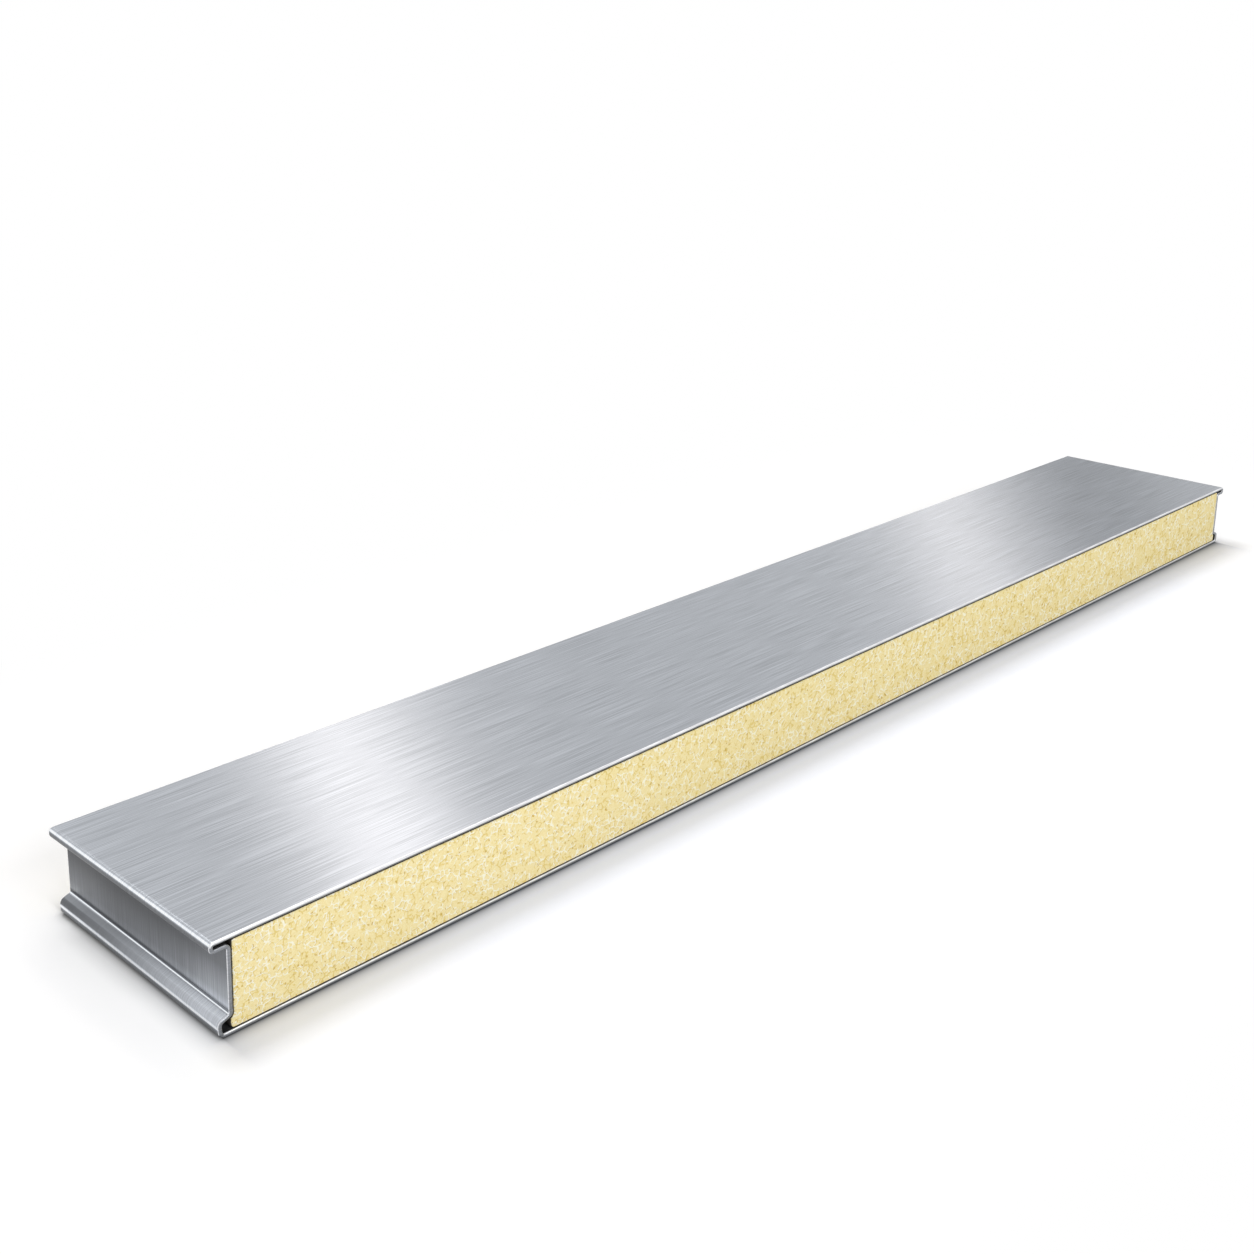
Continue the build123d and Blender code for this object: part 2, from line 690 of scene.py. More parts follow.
@dataclass(frozen=True)
class BackCoatAndShade(Finish):
    """A dark primer on the inner side of the skins, seen in the hollow lips; its near-black tone is also
    painted shade in them.
    """

    light_tone: Tone = colour(0.050, 0.052, 0.056)
    dark_tone: Tone = colour(0.022, 0.023, 0.025)
    cloud_size: float = 4.0 * MM
    cloud_range: Flat = (0.3, 0.7)
    roughness: Flat = (0.45, 0.65)
    relief_strength: float = 0.3
    relief_depth: float = 0.05 * MM

    def recipe(self, sheet: NodeSheet) -> Inputs:
        """Clouds in the tone, the roughness and the relief of the primer.

        Args:
            sheet: The material's nodes.

        Returns:
            The shader's inputs.
        """
        cloud = sheet.clouds(sheet.place(), 1 / self.cloud_size, detail=4.0).outputs["Fac"]
        return {
            "Base Color": sheet.mix(sheet.remap(cloud, MIDDLE_NOISE), self.dark_tone, self.light_tone),
            "Roughness": sheet.remap(cloud, self.cloud_range, self.roughness, smooth=False),
            "Normal": sheet.bump(cloud, self.relief_strength, self.relief_depth),
        }


@dataclass(frozen=True)
class SawnFoam(Finish):
    """Rigid foam cut with a saw: curled pale cell walls, small open pores, and a painted dark shadow line by
    the steel.

    Its nodes work in millimetres, the scales are per millimetre, and the pairs are the values
    of a noise between which its form begins.
    """

    body_tone: Tone = colour(0.944, 0.828, 0.486)
    deep_tone: Tone = colour(0.890, 0.750, 0.355)
    wall_highlight_tone: Tone = colour(0.995, 0.955, 0.780)
    ditch_shadow_tone: Tone = colour(0.815, 0.645, 0.235)
    pore_shade_tone: Tone = colour(0.620, 0.410, 0.060)
    rim_shadow_tone: Tone = colour(0.045, 0.040, 0.036)
    far_shade: Tone = colour(0.930, 0.925, 0.890)
    far_shade_run: Flat = (-0.34, -0.12)
    curl_size: float = 2.9
    wall_width: float = 0.125
    wall_patches: Flat = (0.47, 0.525)
    ditch_shift: float = 0.36
    ditch_width: float = 0.15
    ditch_patches: Flat = (0.48, 0.54)
    patch_scale: float = 0.27
    pore_scale: float = 0.42
    pore_choice: Flat = (0.80, 0.86)
    pore_edge: Flat = (0.13, 0.24)
    pore_cover: float = 0.75
    grain_size: float = 0.95
    grain_share: float = 0.55
    speckle_size: float = 0.50
    body_starts: Flat = (0.41, 0.57)
    rim_shadow_raggedness: float = 0.5
    rim_shadow_starts: Flat = (0.62, 0.92)
    drift_scale: float = 0.42
    warp: float = 1.6
    growth: float = 0.9
    roughness: Flat = (0.78, 0.95)
    shine: float = 0.2
    wall_rise: float = 0.6
    grain_rise: float = 0.6
    pore_sink: float = 0.5
    ditch_sink: float = 0.3
    relief_strength: float = 0.55
    relief_depth: float = 0.35 * MM

    def spread(self, sheet: NodeSheet, place: Socket) -> Socket:
        """Places in millimetres, drawn together towards the far end, where the cells grew larger.

        Args:
            sheet: The material's nodes.
            place: Places in the panel's frame.

        Returns:
            The places on which the cells are drawn.
        """
        x = sheet.split(place)[0]
        size = sheet.math("ADD", sheet.math("MULTIPLY", x, self.growth), 1.0 - self.growth * CAD_LOW.x)
        run = sheet.math("MULTIPLY", sheet.math("LOGARITHM", size, math.e), 1 / self.growth)
        across = sheet.vector_math("MULTIPLY", place, (0.0, 1 / MM, 1 / MM))
        shrunk = sheet.scaled(across, sheet.math("DIVIDE", 1.0, size))
        lengthwise = sheet.add("CombineXYZ", {"X": sheet.math("MULTIPLY", run, 1 / MM)})
        return sheet.vector_math("ADD", shrunk, lengthwise.outputs["Vector"])

    def warped(self, sheet: NodeSheet, millimetres: Socket) -> Socket:
        """Push places about by noise, which curls what is drawn on them.

        Args:
            sheet: The material's nodes.
            millimetres: Places in millimetres.

        Returns:
            The pushed places.
        """
        drift = sheet.clouds(millimetres, self.drift_scale, detail=2.0).outputs["Color"]
        centred = sheet.vector_math("SUBTRACT", drift, (NOISE_MEAN,) * 3)
        pushed = sheet.vector_math("MULTIPLY", centred, (2 * self.warp,) * 3)
        return sheet.vector_math("ADD", millimetres, pushed)

    def on_cut(self, sheet: NodeSheet, warped: Socket, shift: float) -> Socket:
        """Flat coordinates on a saw cut, on which a pattern moves down and to the right.

        Args:
            sheet: The material's nodes.
            warped: The pushed places.
            shift: How far it moves each way, in millimetres.

        Returns:
            The coordinates.
        """
        x, _, z = sheet.split(warped)
        moved = {"X": sheet.math("SUBTRACT", x, shift), "Y": sheet.math("ADD", z, shift)}
        return sheet.add("CombineXYZ", moved).outputs["Vector"]

    def curls(self, sheet: NodeSheet, warped: Socket, millimetres: Socket) -> tuple[Socket, Socket]:
        """Pale curled cell walls, painted as highlights, with a painted shadow in a ditch beside them,
        present in places and missing in others.

        Args:
            sheet: The material's nodes.
            warped: The pushed places.
            millimetres: The places before the push.

        Returns:
            Two outputs, which are 1 on a wall and 1 in a ditch.
        """
        patchy = sheet.clouds(millimetres, self.patch_scale, detail=2.0).outputs["Color"]
        patches = sheet.add("SeparateColor", {"Color": patchy}).outputs
        wall = (0.0, self.wall_width, sheet.remap(patches["Red"], self.wall_patches))
        ditch = (self.ditch_shift, self.ditch_width, sheet.remap(patches["Green"], self.ditch_patches))
        lines = []
        for shift, width, present in (wall, ditch):
            inputs = {"Vector": self.on_cut(sheet, warped, shift), "Scale": 1 / self.curl_size}
            cells = sheet.add("TexVoronoi", inputs, feature="DISTANCE_TO_EDGE", voronoi_dimensions="2D")
            line = sheet.remap(cells.outputs["Distance"], (width / 2, width), (1.0, 0.0))
            lines.append(sheet.math("MULTIPLY", line, present))
        return lines[0], lines[1]

    def pores(self, sheet: NodeSheet, warped: Socket) -> Socket:
        """Small open pores in a few of the cells.

        Args:
            sheet: The material's nodes.
            warped: The pushed places.

        Returns:
            An output that is 1 in a pore and 0 elsewhere.
        """
        inputs = {"Vector": self.on_cut(sheet, warped, 0.0), "Scale": self.pore_scale}
        cells = sheet.add("TexVoronoi", inputs, voronoi_dimensions="2D")
        chance = sheet.add("SeparateColor", {"Color": cells.outputs["Color"]})
        picked = sheet.remap(chance.outputs["Red"], self.pore_choice)
        hollow = sheet.remap(cells.outputs["Distance"], self.pore_edge, (1.0, 0.0))
        return sheet.math("MULTIPLY", picked, hollow)

    def recipe(self, sheet: NodeSheet) -> Inputs:
        """Body, painted ditch shadows, painted wall highlights, pores and the painted rim shadow, in this
        order, then painted far shade.

        Args:
            sheet: The material's nodes.

        Returns:
            The shader's inputs.
        """
        place = sheet.place()
        millimetres = self.spread(sheet, place)
        warped = self.warped(sheet, millimetres)
        walls, ditches = self.curls(sheet, warped, millimetres)
        pores = self.pores(sheet, warped)
        grain = sheet.clouds(warped, 1 / self.grain_size, detail=2.0, Roughness=0.65).outputs["Fac"]
        speckle = sheet.clouds(millimetres, 1 / self.speckle_size, detail=1.0).outputs["Fac"]
        rough = sheet.weighted(grain, self.grain_share, speckle, 1 - self.grain_share)
        body = sheet.mix(sheet.remap(rough, self.body_starts), self.deep_tone, self.body_tone)
        ditch_shadowed = sheet.mix(ditches, body, self.ditch_shadow_tone)
        wall_highlighted = sheet.mix(walls, ditch_shadowed, self.wall_highlight_tone)
        # The pores take a deeper ochre, painted shade in their hollows.
        tone = sheet.mix(sheet.math("MULTIPLY", pores, self.pore_cover), wall_highlighted, self.pore_shade_tone)
        ragged = sheet.weighted(sheet.attribute(RIM_SHADOW), 1.0, grain, self.rim_shadow_raggedness)
        # A painted near-black shadow line along the rims next to the steel, made ragged by the grain.
        rim_shadowed = sheet.mix(sheet.remap(ragged, self.rim_shadow_starts), tone, self.rim_shadow_tone)
        # Painted shade: the foam is darker towards the far end.
        cast = sheet.mix(sheet.remap(sheet.split(place)[0], self.far_shade_run), WHITE, self.far_shade)
        risen = sheet.weighted(walls, self.wall_rise, rough, self.grain_rise)
        hollow = sheet.weighted(pores, self.pore_sink, ditches, self.ditch_sink)
        height = sheet.math("SUBTRACT", risen, hollow)
        return {
            "Base Color": sheet.mix(1.0, rim_shadowed, cast, "MULTIPLY"),
            "Roughness": sheet.remap(grain, MOST_NOISE, self.roughness, smooth=False),
            "Specular IOR Level": self.shine,
            "Normal": sheet.bump(height, self.relief_strength, self.relief_depth),
        }


def set_up(name: str, data: bpy.types.ID) -> bpy.types.Object:
    """Put an object in the scene.

    Args:
        name: The object's name.
        data: Its mesh, lamp or camera.

    Returns:
        The object.
    """
    item = bpy.data.objects.new(name, data)
    bpy.context.scene.collection.objects.link(item)
    return item


def set_up_mesh(
    name: str, points: list[Place], faces: list[tuple[int, ...]], finishes: list[bpy.types.Material]
) -> bpy.types.Object:
    """Put a mesh object in the scene.

    Args:
        name: The object's name and its mesh's.
        points: The mesh's points.
        faces: The points of each face, anticlockwise seen from outside.
        finishes: The finishes in the order of the mesh's slots.

    Returns:
        The object.
    """
    mesh = bpy.data.meshes.new(name)
    mesh.from_pydata(points, [], faces)
    for finish in finishes:
        mesh.materials.append(finish)
    return set_up(name, mesh)


@dataclass(frozen=True)
class SkinSheet:
    """One steel skin: a sheet of even thickness folded along its outer face."""

    name: str
    node: str
    profile: EdgeProfile
    face: Path
    side: SheetSide
    edge_rounding: float = 0.15 * MM
    deburring: float = 0.75 * MM
    deburr_steps: int = 6
    end_steps: int = 3
    end_spare: float = 0.8
    stations: int = 13

    def sheet_end(self, point: SectionPoint, way: Vector) -> Path:
        """Round the end of the folded sheet, from its outer face to its inner one.

        Args:
            point: The outer face's last point, with its normal towards the foam.
            way: The way out of the sheet at that end.

        Returns:
            The points of the rounded end with outward normals.
        """
        inward = point.normal
        radius = self.edge_rounding
        spare = radius * self.end_spare
        outer_centre = point.place - way * radius + inward * radius
        inner_centre = point.place - way * radius + inward * (self.profile.sheet - radius)
        points = []
        for centre, start, stop in ((outer_centre, -inward, way), (inner_centre, way, inward)):
            inner = centre is inner_centre
            for index in range(self.end_steps + 1):
                angle = math.pi / 2 * index / self.end_steps
                normal = start * math.cos(angle) + stop * math.sin(angle)
                points.append(SectionPoint(centre + normal * radius, normal, inner, spare))
        return points

    def loop(self) -> Path:
        """Close the skin's section, from its outer face round both ends to its inner face.

        Returns:
            The section's points, anticlockwise seen along +Y, with outward normals.
        """
        hand = self.side.value
        outer = [SectionPoint(p.place, p.normal * hand) for p in self.face]
        first_way = (outer[0].place - outer[1].place).normalized()
        last_way = (outer[-1].place - outer[-2].place).normalized()
        run_out = [SectionPoint(p.place, -p.normal) for p in outer[1:-1]]
        sheet = self.profile.sheet
        run_back = [SectionPoint(p.place + p.normal * sheet, p.normal, True) for p in outer[-2:0:-1]]
        start = list(reversed(self.sheet_end(outer[0], first_way)))
        points = run_out + self.sheet_end(outer[-1], last_way) + run_back + start
        places = [p.place for p in points]
        area = sum(a.x * b.y - b.x * a.y for a, b in zip(places, places[1:] + places[:1]))
        return points if area > 0 else points[::-1]

    def layers(self) -> list[Place]:
        """The section's copies across the strip.

        Returns:
            For each copy its y, how far it is drawn in, and the tilt of its normal towards
            the saw cut, which is -1 at the front cut and 1 at the back one.
        """
        half = self.profile.half_width
        radius = self.deburring
        front = []
        for index in range(self.deburr_steps + 1):
            angle = math.pi / 2 * index / self.deburr_steps
            tilt = -math.cos(angle)
            front.append((radius * (1 + tilt) - half, radius * (1 - math.sin(angle)), tilt))
        between = np.linspace(radius - half, half - radius, self.stations)[1:-1].tolist()
        middle = [(y, 0.0, 0.0) for y in between]
        back = [(-y, drawn_in, -tilt) for y, drawn_in, tilt in reversed(front)]
        return front + middle + back

    def strips(self, loop: Path, layers: list[Place]) -> tuple[list, list, list]:
        """Lay faces between the section's copies.

        Args:
            loop: The closed section.
            layers: Its copies across the strip.

        Returns:
            The faces, the brushing's coordinates at their corners, and their surfaces.
        """
        count = len(loop)
        run = [0.0]
        for point, following in zip(loop, loop[1:] + loop[:1]):
            run.append(run[-1] + (following.place - point.place).length)
        faces = []
        uvs = []
        surfaces = []
        last = len(layers) - 1
        for layer in range(last):
            deburred = layer < self.deburr_steps or layer >= last - self.deburr_steps
            y_near = layers[layer][0]
            y_far = layers[layer + 1][0]
            near = layer * count
            far = near + count
            for index in range(count):
                after = (index + 1) % count
                inner = loop[index].inner and loop[after].inner
                surface = Surface.BACKED if inner else Surface.BRUSHED
                surface = Surface.SAWN if deburred else surface
                faces.append((near + index, far + index, far + after, near + after))
                start = run[index]
                stop = run[index + 1]
                uvs += [(y_near, start), (y_far, start), (y_far, stop), (y_near, stop)]
                surfaces.append(surface.value)
        return faces, uvs, surfaces

    def build(self, finishes: list[bpy.types.Material]) -> bpy.types.Object:
        """Build the skin's mesh and dress it.

        Args:
            finishes: The brushed, sawn and backed finishes, in the order of Surface.

        Returns:
            The skin's object.
        """
        loop = self.loop()
        layers = self.layers()
        vertices = []
        normals = []
        values = {SHADE: [], STILLNESS: [], CORE: []}
        for y, drawn_in, tilt in layers:
            flatness = math.sqrt(max(0.0, 1 - tilt * tilt))
            for point in loop:
                place = point.place - point.normal * min(drawn_in, point.spare)
                vertices.append((place.x, y, place.y))
                normals.append((point.normal.x * flatness, tilt, point.normal.y * flatness))
                values[SHADE].append(self.profile.shade(point, y))
                values[STILLNESS].append(self.profile.stillness(point))
                values[CORE].append(self.profile.cut_core(point, abs(tilt)))
        faces, uvs, surfaces = self.strips(loop, layers)
        front_cut = list(range(len(loop)))
        back_cut = list(range(len(vertices) - len(loop), len(vertices)))[::-1]
        for cut in (front_cut, back_cut):
            faces.append(tuple(cut))
            uvs += [(vertices[v][0], vertices[v][2]) for v in cut]
            surfaces.append(Surface.SAWN.value)
        piece = set_up_mesh(self.name, vertices, faces, finishes)
        mesh = piece.data
        mesh.polygons.foreach_set("material_index", surfaces)
        mesh.polygons.foreach_set("use_smooth", [True] * len(faces))
        mesh.uv_layers.new(name=BRUSH_UV).data.foreach_set("uv", np.array(uvs, np.float32).ravel())
        for name, numbers in values.items():
            mesh.attributes.new(name, "FLOAT", "POINT").data.foreach_set("value", numbers)
        mesh.normals_split_custom_set_from_vertices(normals)
        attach(piece, "root")
        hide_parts(self.node)
        return piece


@dataclass(frozen=True)
class FoamCore:
    """The foam between the skins, with a torn surface on its two sawn sides."""

    profile: EdgeProfile
    name: str = "foam_core_block"
    node: str = "foam_core"
    bond_line: float = 0.1 * MM
    top_radius: float = 1.6 * MM
    bottom_radius: float = 2.6 * MM
    bulge: float = 2.0 * MM
    bulge_top: float = 1.2 * MM
    bulge_slope: float = 2.2 * MM
    bulge_radius: float = 0.9 * MM
    grid: float = 1.07 * MM
    deepest: float = 0.6 * MM
    shallowest_share: float = 0.02
    mean_share: float = 0.16
    wave_share: float = 0.08
    wave_size: float = 7 * MM
    grain_share: float = 0.16
    grain_size: float = 2.4 * MM
    pit_share: float = 0.5
    pit_size: float = 3.1 * MM
    pit_start: float = 0.32
    rim_shadow_width: float = 0.45 * MM
    rim_width: float = 1.0 * MM
    rim_depth: float = 1.1 * MM
    cut_seeds: Flat = (0.5, 140.5)
    round_stride: int = 3

    def near_side(self) -> list[Vector]:
        """The outline of the core's near end.

        Returns:
            Its points, from the foot to the top.
        """
        profile = self.profile
        to_foam = profile.sheet + self.bond_line
        bulge_top = profile.bottom_lip_height - self.bulge_top
        bulge_depth = profile.bottom_lip_depth + to_foam - self.bulge
        top = profile.thickness - to_foam
        half = profile.half_length
        corners = [
            Corner(0.0, to_foam),
            Corner(bulge_depth - half, to_foam, self.bottom_radius),
            Corner(bulge_depth - half, bulge_top - self.bulge_slope, self.bulge_radius),
            Corner(profile.web_depth(bulge_top) + to_foam - half, bulge_top, self.bulge_radius),
            Corner(profile.web_depth(profile.thickness) + to_foam - half, top, self.top_radius),
            Corner(0.0, top),
        ]
        return [point.place for point in rounded_path(corners, profile.arc_step)[1:-1]]

    def tear(self, x: float, z: float, seed: float) -> float:
        """How deep the saw tore the foam at a place of a cut.

        Args:
            x: The place across the cover width.
            z: The place's height.
            seed: A number that sets the two cuts apart.

        Returns:
            The depth behind the plane of the cut.
        """
        wave, grain, pits = (
            noise.noise(Vector((x / size, z / size, seed + apart)))
            for size, apart in ((self.wave_size, 0), (self.grain_size, 31), (self.pit_size, 67))
        )
        share = self.mean_share + self.wave_share * wave + self.grain_share * grain
        share += self.pit_share * max(0.0, pits - self.pit_start)
        return min(max(share, self.shallowest_share), 1.0) * self.deepest

    def build(self, finish: bpy.types.Material) -> bpy.types.Object:
        """Build the core's mesh and dress it.

        Args:
            finish: The foam's finish.

        Returns:
            The core's object.
        """
        side = self.near_side()
        side_z = [place.y for place in side]
        side_x = [place.x for place in side]
        rows = self.row_heights(side_z)
        shares = self.column_shares(-min(side_x))
        half = self.profile.half_width
        vertices = []
        rim_shadows = []
        for sign, seed in zip((-1.0, 1.0), self.cut_seeds):
            for z in rows:
                end = float(np.interp(z, side_z, side_x))
                for share in shares:
                    rim = abs(share) == 1.0 or z <= rows[1] or z >= rows[-2]
                    x = end * share
                    depth = self.rim_depth if rim else self.tear(x, z, seed)
                    vertices.append((x, sign * (half - depth), z))
                    # Rim points carry the painted shadow line next to the steel.
                    rim_shadows.append(1.0 if rim else 0.0)
        wide = len(shares)
        high = len(rows)
        back = wide * high
        faces = []
        for row in range(high - 1):
            for column in range(wide - 1):
                corner = row * wide + column
                faces.append((corner, corner + 1, corner + wide + 1, corner + wide))
                corner += back
                faces.append((corner, corner + wide, corner + wide + 1, corner + 1))
        sawn = len(faces)
        foot = list(range(wide))
        far_end = [row * wide + wide - 1 for row in range(high)]
        top = [(high - 1) * wide + column for column in reversed(range(wide))]
        near_end = [row * wide for row in reversed(range(high))]
        for rim in (foot, far_end, top, near_end):
            for first, second in zip(rim, rim[1:]):
                faces.append((first, first + back, second + back, second))
        piece = set_up_mesh(self.name, vertices, faces, [finish])
        mesh = piece.data
        mesh.polygons.foreach_set("use_smooth", [index < sawn for index in range(len(faces))])
        mesh.attributes.new(RIM_SHADOW, "FLOAT", "POINT").data.foreach_set("value", rim_shadows)
        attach(piece, "root")
        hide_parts(self.node)
        return piece

    def row_heights(self, side_z: list[float]) -> list[float]:
        """Heights of the rows of the torn surface.

        Args:
            side_z: Heights of the points of the core's near end.

        Returns:
            Even rows, with a close one at each rim and more where the corners are round.
        """
        foot = side_z[0]
        top = side_z[-1]
        even = np.linspace(foot, top, round((top - foot) / self.grid) + 1).tolist()
        rims = [foot + width for width in (self.rim_shadow_width, self.rim_width)]
        rims += [top - width for width in (self.rim_width, self.rim_shadow_width)]
        round_low = foot + self.bottom_radius
        round_high = top - self.top_radius
        rounds = [z for z in side_z if foot + self.rim_width < z < round_low]
        rounds += [z for z in side_z if round_high < z < top - self.rim_width]
        return sorted(set(even + rims + rounds[:: self.round_stride]))

    def column_shares(self, end: float) -> list[float]:
        """Places of the columns as shares of the way to an end, from the near one's 1 to -1."""
        inner = 1 - self.rim_width / end
        return [1.0] + np.linspace(inner, -inner, round(2 * end / self.grid)).tolist() + [-1.0]


@dataclass(frozen=True)
class Lamp:
    """A soft lamp that faces a place on the panel's middle line, long across the panel."""

    name: str
    way: Place
    distance: float
    width: float
    length: float
    power: float
    target_x: float = 0.0
    tone: Place = (1.0, 1.0, 1.0)

    def build(self) -> bpy.types.Object:
        """Hang the lamp.

        Returns:
            The lamp's object.
        """
        data = bpy.data.lights.new(self.name, "AREA")
        data.shape = "RECTANGLE"
        data.size = self.width
        data.size_y = self.length
        data.energy = self.power
        data.color = self.tone
        lamp = set_up(self.name, data)
        way = Vector(self.way).normalized()
        long_side = way.cross(Vector((1.0, 0.0, 0.0))).normalized()
        short_side = long_side.cross(way)
        turn = Matrix((short_side, long_side, way)).transposed()
        lamp.location = Vector((self.target_x, 0.0, CAD_HIGH.z)) + way * self.distance
        lamp.rotation_euler = turn.to_euler()
        lamp.visible_camera = False
        return lamp


@dataclass(frozen=True)
class GreyArch:
    """A grey arch far beyond the far end, which only mirrors in the steel."""

    name: str = "grey_arch"
    distance: float = 12.0
    inner_radius: float = 6.5
    outer_radius: float = 7.65
    tone: Tone = colour(0.40, 0.41, 0.42)
    steps: int = 36

    def build(self) -> bpy.types.Object:
        """Stand the arch up.

        Returns:
            The arch's object.
        """
        material, sheet = NodeSheet.for_material(self.name)
        sheet.show(sheet.add("Emission", {"Color": self.tone, "Strength": 1.0}).outputs["Emission"])
        corners = []
        for index in range(self.steps + 1):
            angle = math.pi * index / self.steps
            for radius in (self.inner_radius, self.outer_radius):
                corners.append((0.0, radius * math.cos(angle), radius * math.sin(angle)))
        faces = [(2 * k, 2 * k + 1, 2 * k + 3, 2 * k + 2) for k in range(self.steps)]
        arch = set_up_mesh(self.name, corners, faces, [material])
        arch.location.x = self.distance
        for rays in ("camera", "diffuse", "shadow", "transmission"):
            setattr(arch, f"visible_{rays}", False)
        return arch


@dataclass(frozen=True)
class Fade:
    """Something that dies away on the floor: how far it reaches, and how strong it is at first."""

    reach: float
    strength: float = 1.0

    def over(self, sheet: NodeSheet, distance: Socket) -> Socket:
        """Its strength at a distance."""
        left = sheet.math("EXPONENT", sheet.math("MULTIPLY", distance, -1 / self.reach))
        return sheet.math("MULTIPLY", left, self.strength)


@dataclass(frozen=True)
class Studio:
    """A plain white floor, soft lamps, and a camera at the photograph's angle."""

    profile: EdgeProfile
    floor_reach: float = 60.0
    floor_drop: float = 0.05 * MM
    floor_tone: Tone = colour(0.86, 0.86, 0.865)
    floor_light_tone: Tone = colour(0.88, 0.88, 0.885)
    floor_glow: float = 0.20
    grain_scale: float = 40.0
    shadow_run: Flat = (0.04, 0.34)
    foot_inset: float = 2 * MM
    # A painted contact shadow on the floor beside the panel and at its ends.
    close_shade: Fade = Fade(3.5 * MM, 0.69)
    wide_shade: Fade = Fade(14 * MM, 0.15)
    side_end: Fade = Fade(1.5 * MM)
    shade_run: Flat = (-0.3, 0.5)
    shade_stretch: Flat = (1.0, 0.55)
    end_shade: Fade = Fade(2.4 * MM, 0.91)
    end_side: Fade = Fade(3 * MM)
    # A painted bluish tint that cancels the foam's yellow bounce light on the floor in front.
    foam_balance: Tone = colour(0.915, 0.960, 1.10)
    foam_glow: Fade = Fade(75 * MM)
    foam_glow_end: Fade = Fade(3 * MM)
    foam_glow_run: float = 0.16
    foam_glow_last: float = 0.25
    front_run: Flat = (-0.02, 0.0)
    sky_strength: float = 0.42
    camera_place: Place = (-0.78253, -0.60847, 0.42448)
    camera_heading_deg: float = 44.48
    camera_dip_deg: float = 21.395
    focal_px: float = 1540.33
    image_px: float = 1254.0
    sensor_mm: float = 36.0

    def seen_directly(self, sheet: NodeSheet) -> Socket:
        """Tell rays that show the surroundings as they are from rays that carry light.

        Args:
            sheet: The nodes of the floor or the sky.

        Returns:
            An output that is 1 for the first kind and 0 for the second.
        """
        path = sheet.add("LightPath")
        shown = sheet.math("MAXIMUM", path.outputs["Is Camera Ray"], path.outputs["Is Glossy Ray"])
        return sheet.math("MAXIMUM", shown, path.outputs["Is Transmission Ray"])

    def contact(self, sheet: NodeSheet, place: Socket, gap: Socket) -> Socket:
        """The floor's painted contact shadow close to the panel, and a painted tint that balances the foam's
        yellow glow on it.

        Args:
            sheet: The floor's nodes.
            place: Places on the floor.
            gap: How far they are past the panel's ends and past its sides.

        Returns:
            The colour that is left of white.
        """
        x, y, _ = sheet.split(place)
        ahead, beside, _ = sheet.split(gap)
        stretch = sheet.remap(x, self.shade_run, self.shade_stretch, smooth=False)
        stretched = sheet.math("MULTIPLY", beside, stretch)
        shades = (self.close_shade.over(sheet, stretched), self.wide_shade.over(sheet, stretched))
        side = sheet.math("MULTIPLY", sheet.math("ADD", *shades), self.side_end.over(sheet, ahead))
        end = sheet.math("MULTIPLY", self.end_shade.over(sheet, ahead), self.end_side.over(sheet, beside))
        light = sheet.math("SUBTRACT", 1.0, sheet.math("MAXIMUM", side, end))
        glow = (self.foam_glow.over(sheet, beside), self.foam_glow_end.over(sheet, ahead))
        half = self.profile.half_length
        last_run = (half - self.foam_glow_run, half)
        to_ends = sheet.remap(sheet.math("ABSOLUTE", x), last_run, (1.0, self.foam_glow_last))
        in_front = sheet.remap(y, self.front_run, (1.0, 0.0))
        reach = sheet.math("MULTIPLY", to_ends, in_front)
        share = sheet.math("MULTIPLY", sheet.math("MULTIPLY", *glow), reach)
        return sheet.mix(light, BLACK, sheet.mix(share, WHITE, self.foam_balance))

    def floor_finish(self) -> bpy.types.Material:
        """A matt white floor: it keeps the panel's shadow, adds a painted contact shadow, and turns plain
        white around it.

        Returns:
            The floor's material.
        """
        material, sheet = NodeSheet.for_material("StudioFloor")
        place = sheet.place()
        sides = sheet.vector_math("ABSOLUTE", place, NOWHERE)
        footprint = (self.profile.half_length - self.foot_inset, self.profile.half_width, 0.0)
        beyond = sheet.vector_math("SUBTRACT", sides, footprint)
        gap = sheet.vector_math("MAXIMUM", beyond, NOWHERE)
        # Only the camera sees the painted contact shadow and tint.
        looked_at = sheet.add("LightPath").outputs["Is Camera Ray"]
        seen_contact = sheet.mix(looked_at, WHITE, self.contact(sheet, place, gap))
        grain = sheet.clouds(place, self.grain_scale, detail=4.0).outputs["Fac"]
        tone = sheet.mix(grain, self.floor_tone, self.floor_light_tone)
        matt = sheet.add("BsdfDiffuse", {"Color": sheet.mix(1.0, tone, seen_contact, "MULTIPLY")})
        shown = self.seen_directly(sheet)
        strength = sheet.math("MULTIPLY", shown, self.floor_glow)
        glow = sheet.add("Emission", {"Color": seen_contact, "Strength": strength})
        near = sheet.add("AddShader", {0: matt.outputs["BSDF"], 1: glow.outputs["Emission"]})
        plain = sheet.add("Emission", {"Color": WHITE, "Strength": 1.0})
        distance = sheet.add("VectorMath", {0: gap}, operation="LENGTH").outputs["Value"]
        outside = sheet.math("MULTIPLY", shown, sheet.remap(distance, self.shadow_run))
        shaders = {0: outside, 1: near.outputs["Shader"], 2: plain.outputs["Emission"]}
        sheet.show(sheet.add("MixShader", shaders).outputs["Shader"])
        return material

    def build_floor(self) -> bpy.types.Object:
        """Lay the floor at the panel's foot.

        Returns:
            The floor's object.
        """
        reach = self.floor_reach
        corners = [(-reach, -reach, 0.0), (reach, -reach, 0.0), (reach, reach, 0.0), (-reach, reach, 0.0)]
        floor = set_up_mesh("studio_floor", corners, [(0, 1, 2, 3)], [self.floor_finish()])
        floor.location.z = CAD_LOW.z - self.floor_drop
        return floor

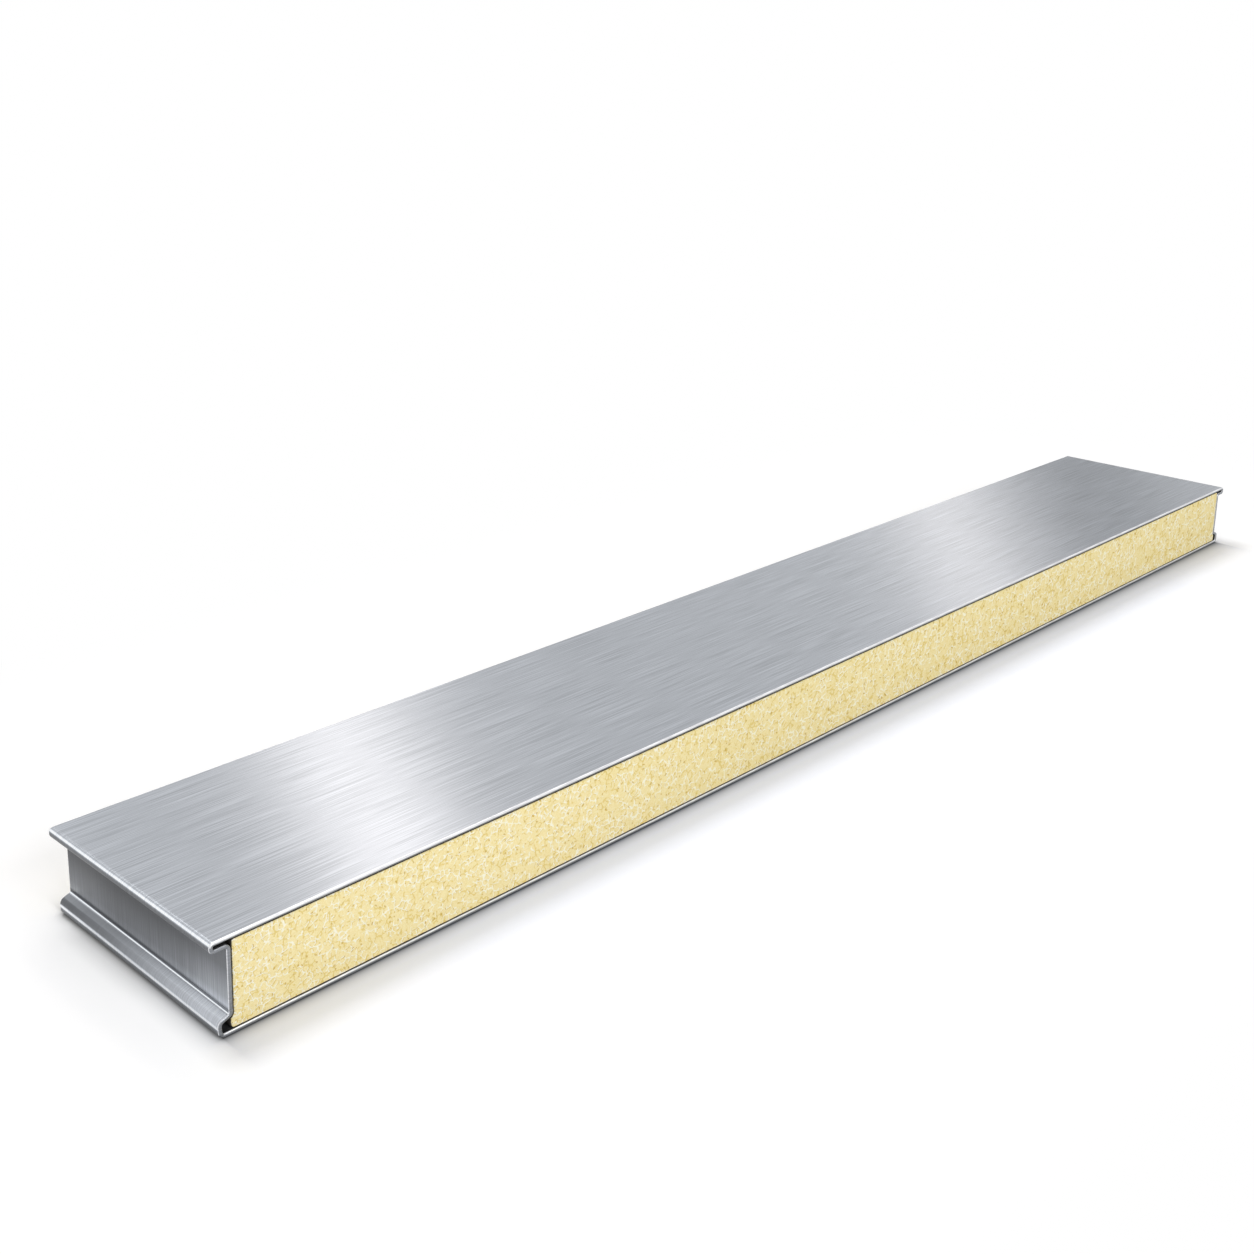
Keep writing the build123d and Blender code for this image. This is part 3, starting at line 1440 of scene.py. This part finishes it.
    def build_sky(self) -> None:
        """Light from all round, and white where the surroundings are seen."""
        world = bpy.data.worlds.new("studio_sky")
        world.use_nodes = True
        sheet = NodeSheet(world.node_tree)
        strength = sheet.remap(self.seen_directly(sheet), UNIT, (self.sky_strength, 1.0), smooth=False)
        sky = sheet.add("Background", {"Color": WHITE, "Strength": strength})
        sheet.add("OutputWorld", {"Surface": sky.outputs["Background"]})
        bpy.context.scene.world = world

    def lamps(self) -> list[Lamp]:
        """A key and a front lamp, and two warmer strips that show as bands in the steel.

        Returns:
            The lamps.
        """
        warm = (1.0, 0.92, 0.86)
        return [
            Lamp("key_lamp", (-0.05, 0.42, 0.90), distance=3.2, width=0.9, length=1.0, power=38.0),
            Lamp("front_lamp", (-0.16, -0.86, 0.49), distance=2.8, width=1.6, length=1.0, power=32.0),
            Lamp(
                "near_strip", (0.505, 0.42, 0.754), distance=6.0, width=0.5, length=2.4, power=26.0,
                target_x=-0.35, tone=warm,
            ),
            Lamp(
                "far_strip", (0.811, 0.33, 0.483), distance=7.0, width=0.3, length=2.4, power=9.9,
                target_x=0.19, tone=warm,
            ),
        ]

    def build_camera(self) -> bpy.types.Object:
        """Set the camera up as the photograph was taken.

        Returns:
            The camera's object.
        """
        data = bpy.data.cameras.new("photo_camera")
        data.sensor_width = self.sensor_mm
        data.lens = self.focal_px / self.image_px * self.sensor_mm
        data.clip_start = 0.01
        data.clip_end = 200.0
        camera = set_up("photo_camera", data)
        heading = math.radians(self.camera_heading_deg)
        dip = math.radians(self.camera_dip_deg)
        level = Vector((math.cos(heading), math.sin(heading), 0.0))
        looking = level * math.cos(dip) - Vector((0.0, 0.0, math.sin(dip)))
        camera.location = self.camera_place
        camera.rotation_euler = looking.to_track_quat("-Z", "Y").to_euler()
        bpy.context.scene.camera = camera
        return camera

    def build(self) -> None:
        """Set up floor, sky, lamps and camera."""
        self.build_floor()
        self.build_sky()
        for lamp in self.lamps():
            lamp.build()
        GreyArch().build()
        self.build_camera()
        bpy.context.scene.view_settings.view_transform = "Standard"


@dataclass(frozen=True)
class SandwichPanel:
    """The whole panel: foam core between a top and a bottom skin."""

    profile: EdgeProfile

    @classmethod
    def from_frame(cls) -> "SandwichPanel":
        """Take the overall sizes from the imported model."""
        size = CAD_HIGH - CAD_LOW
        return cls(EdgeProfile(size.x / 2, size.y / 2, size.z))

    def build(self) -> list[bpy.types.Object]:
        """Build the panel's pieces.

        Returns:
            The core and the two skins.
        """
        profile = self.profile
        steel = [BrushedSteel().build(), SawnSteel().build(), BackCoatAndShade().build()]
        top = SkinSheet("top_skin_sheet", "top_skin", profile, profile.top_face(), SheetSide.RIGHT)
        bottom = SkinSheet("bottom_skin_sheet", "bottom_skin", profile, profile.bottom_face(), SheetSide.LEFT)
        core = FoamCore(profile)
        return [core.build(SawnFoam().build()), top.build(steel), bottom.build(steel)]


def main() -> None:
    """Build the panel and its studio, and report each piece."""
    logging.basicConfig(level=logging.INFO, format="%(message)s")
    panel = SandwichPanel.from_frame()
    for piece in panel.build():
        log.info("%s: %d faces", piece.name, len(piece.data.polygons))
    Studio(panel.profile).build()


if __name__ == "__main__":
    main()
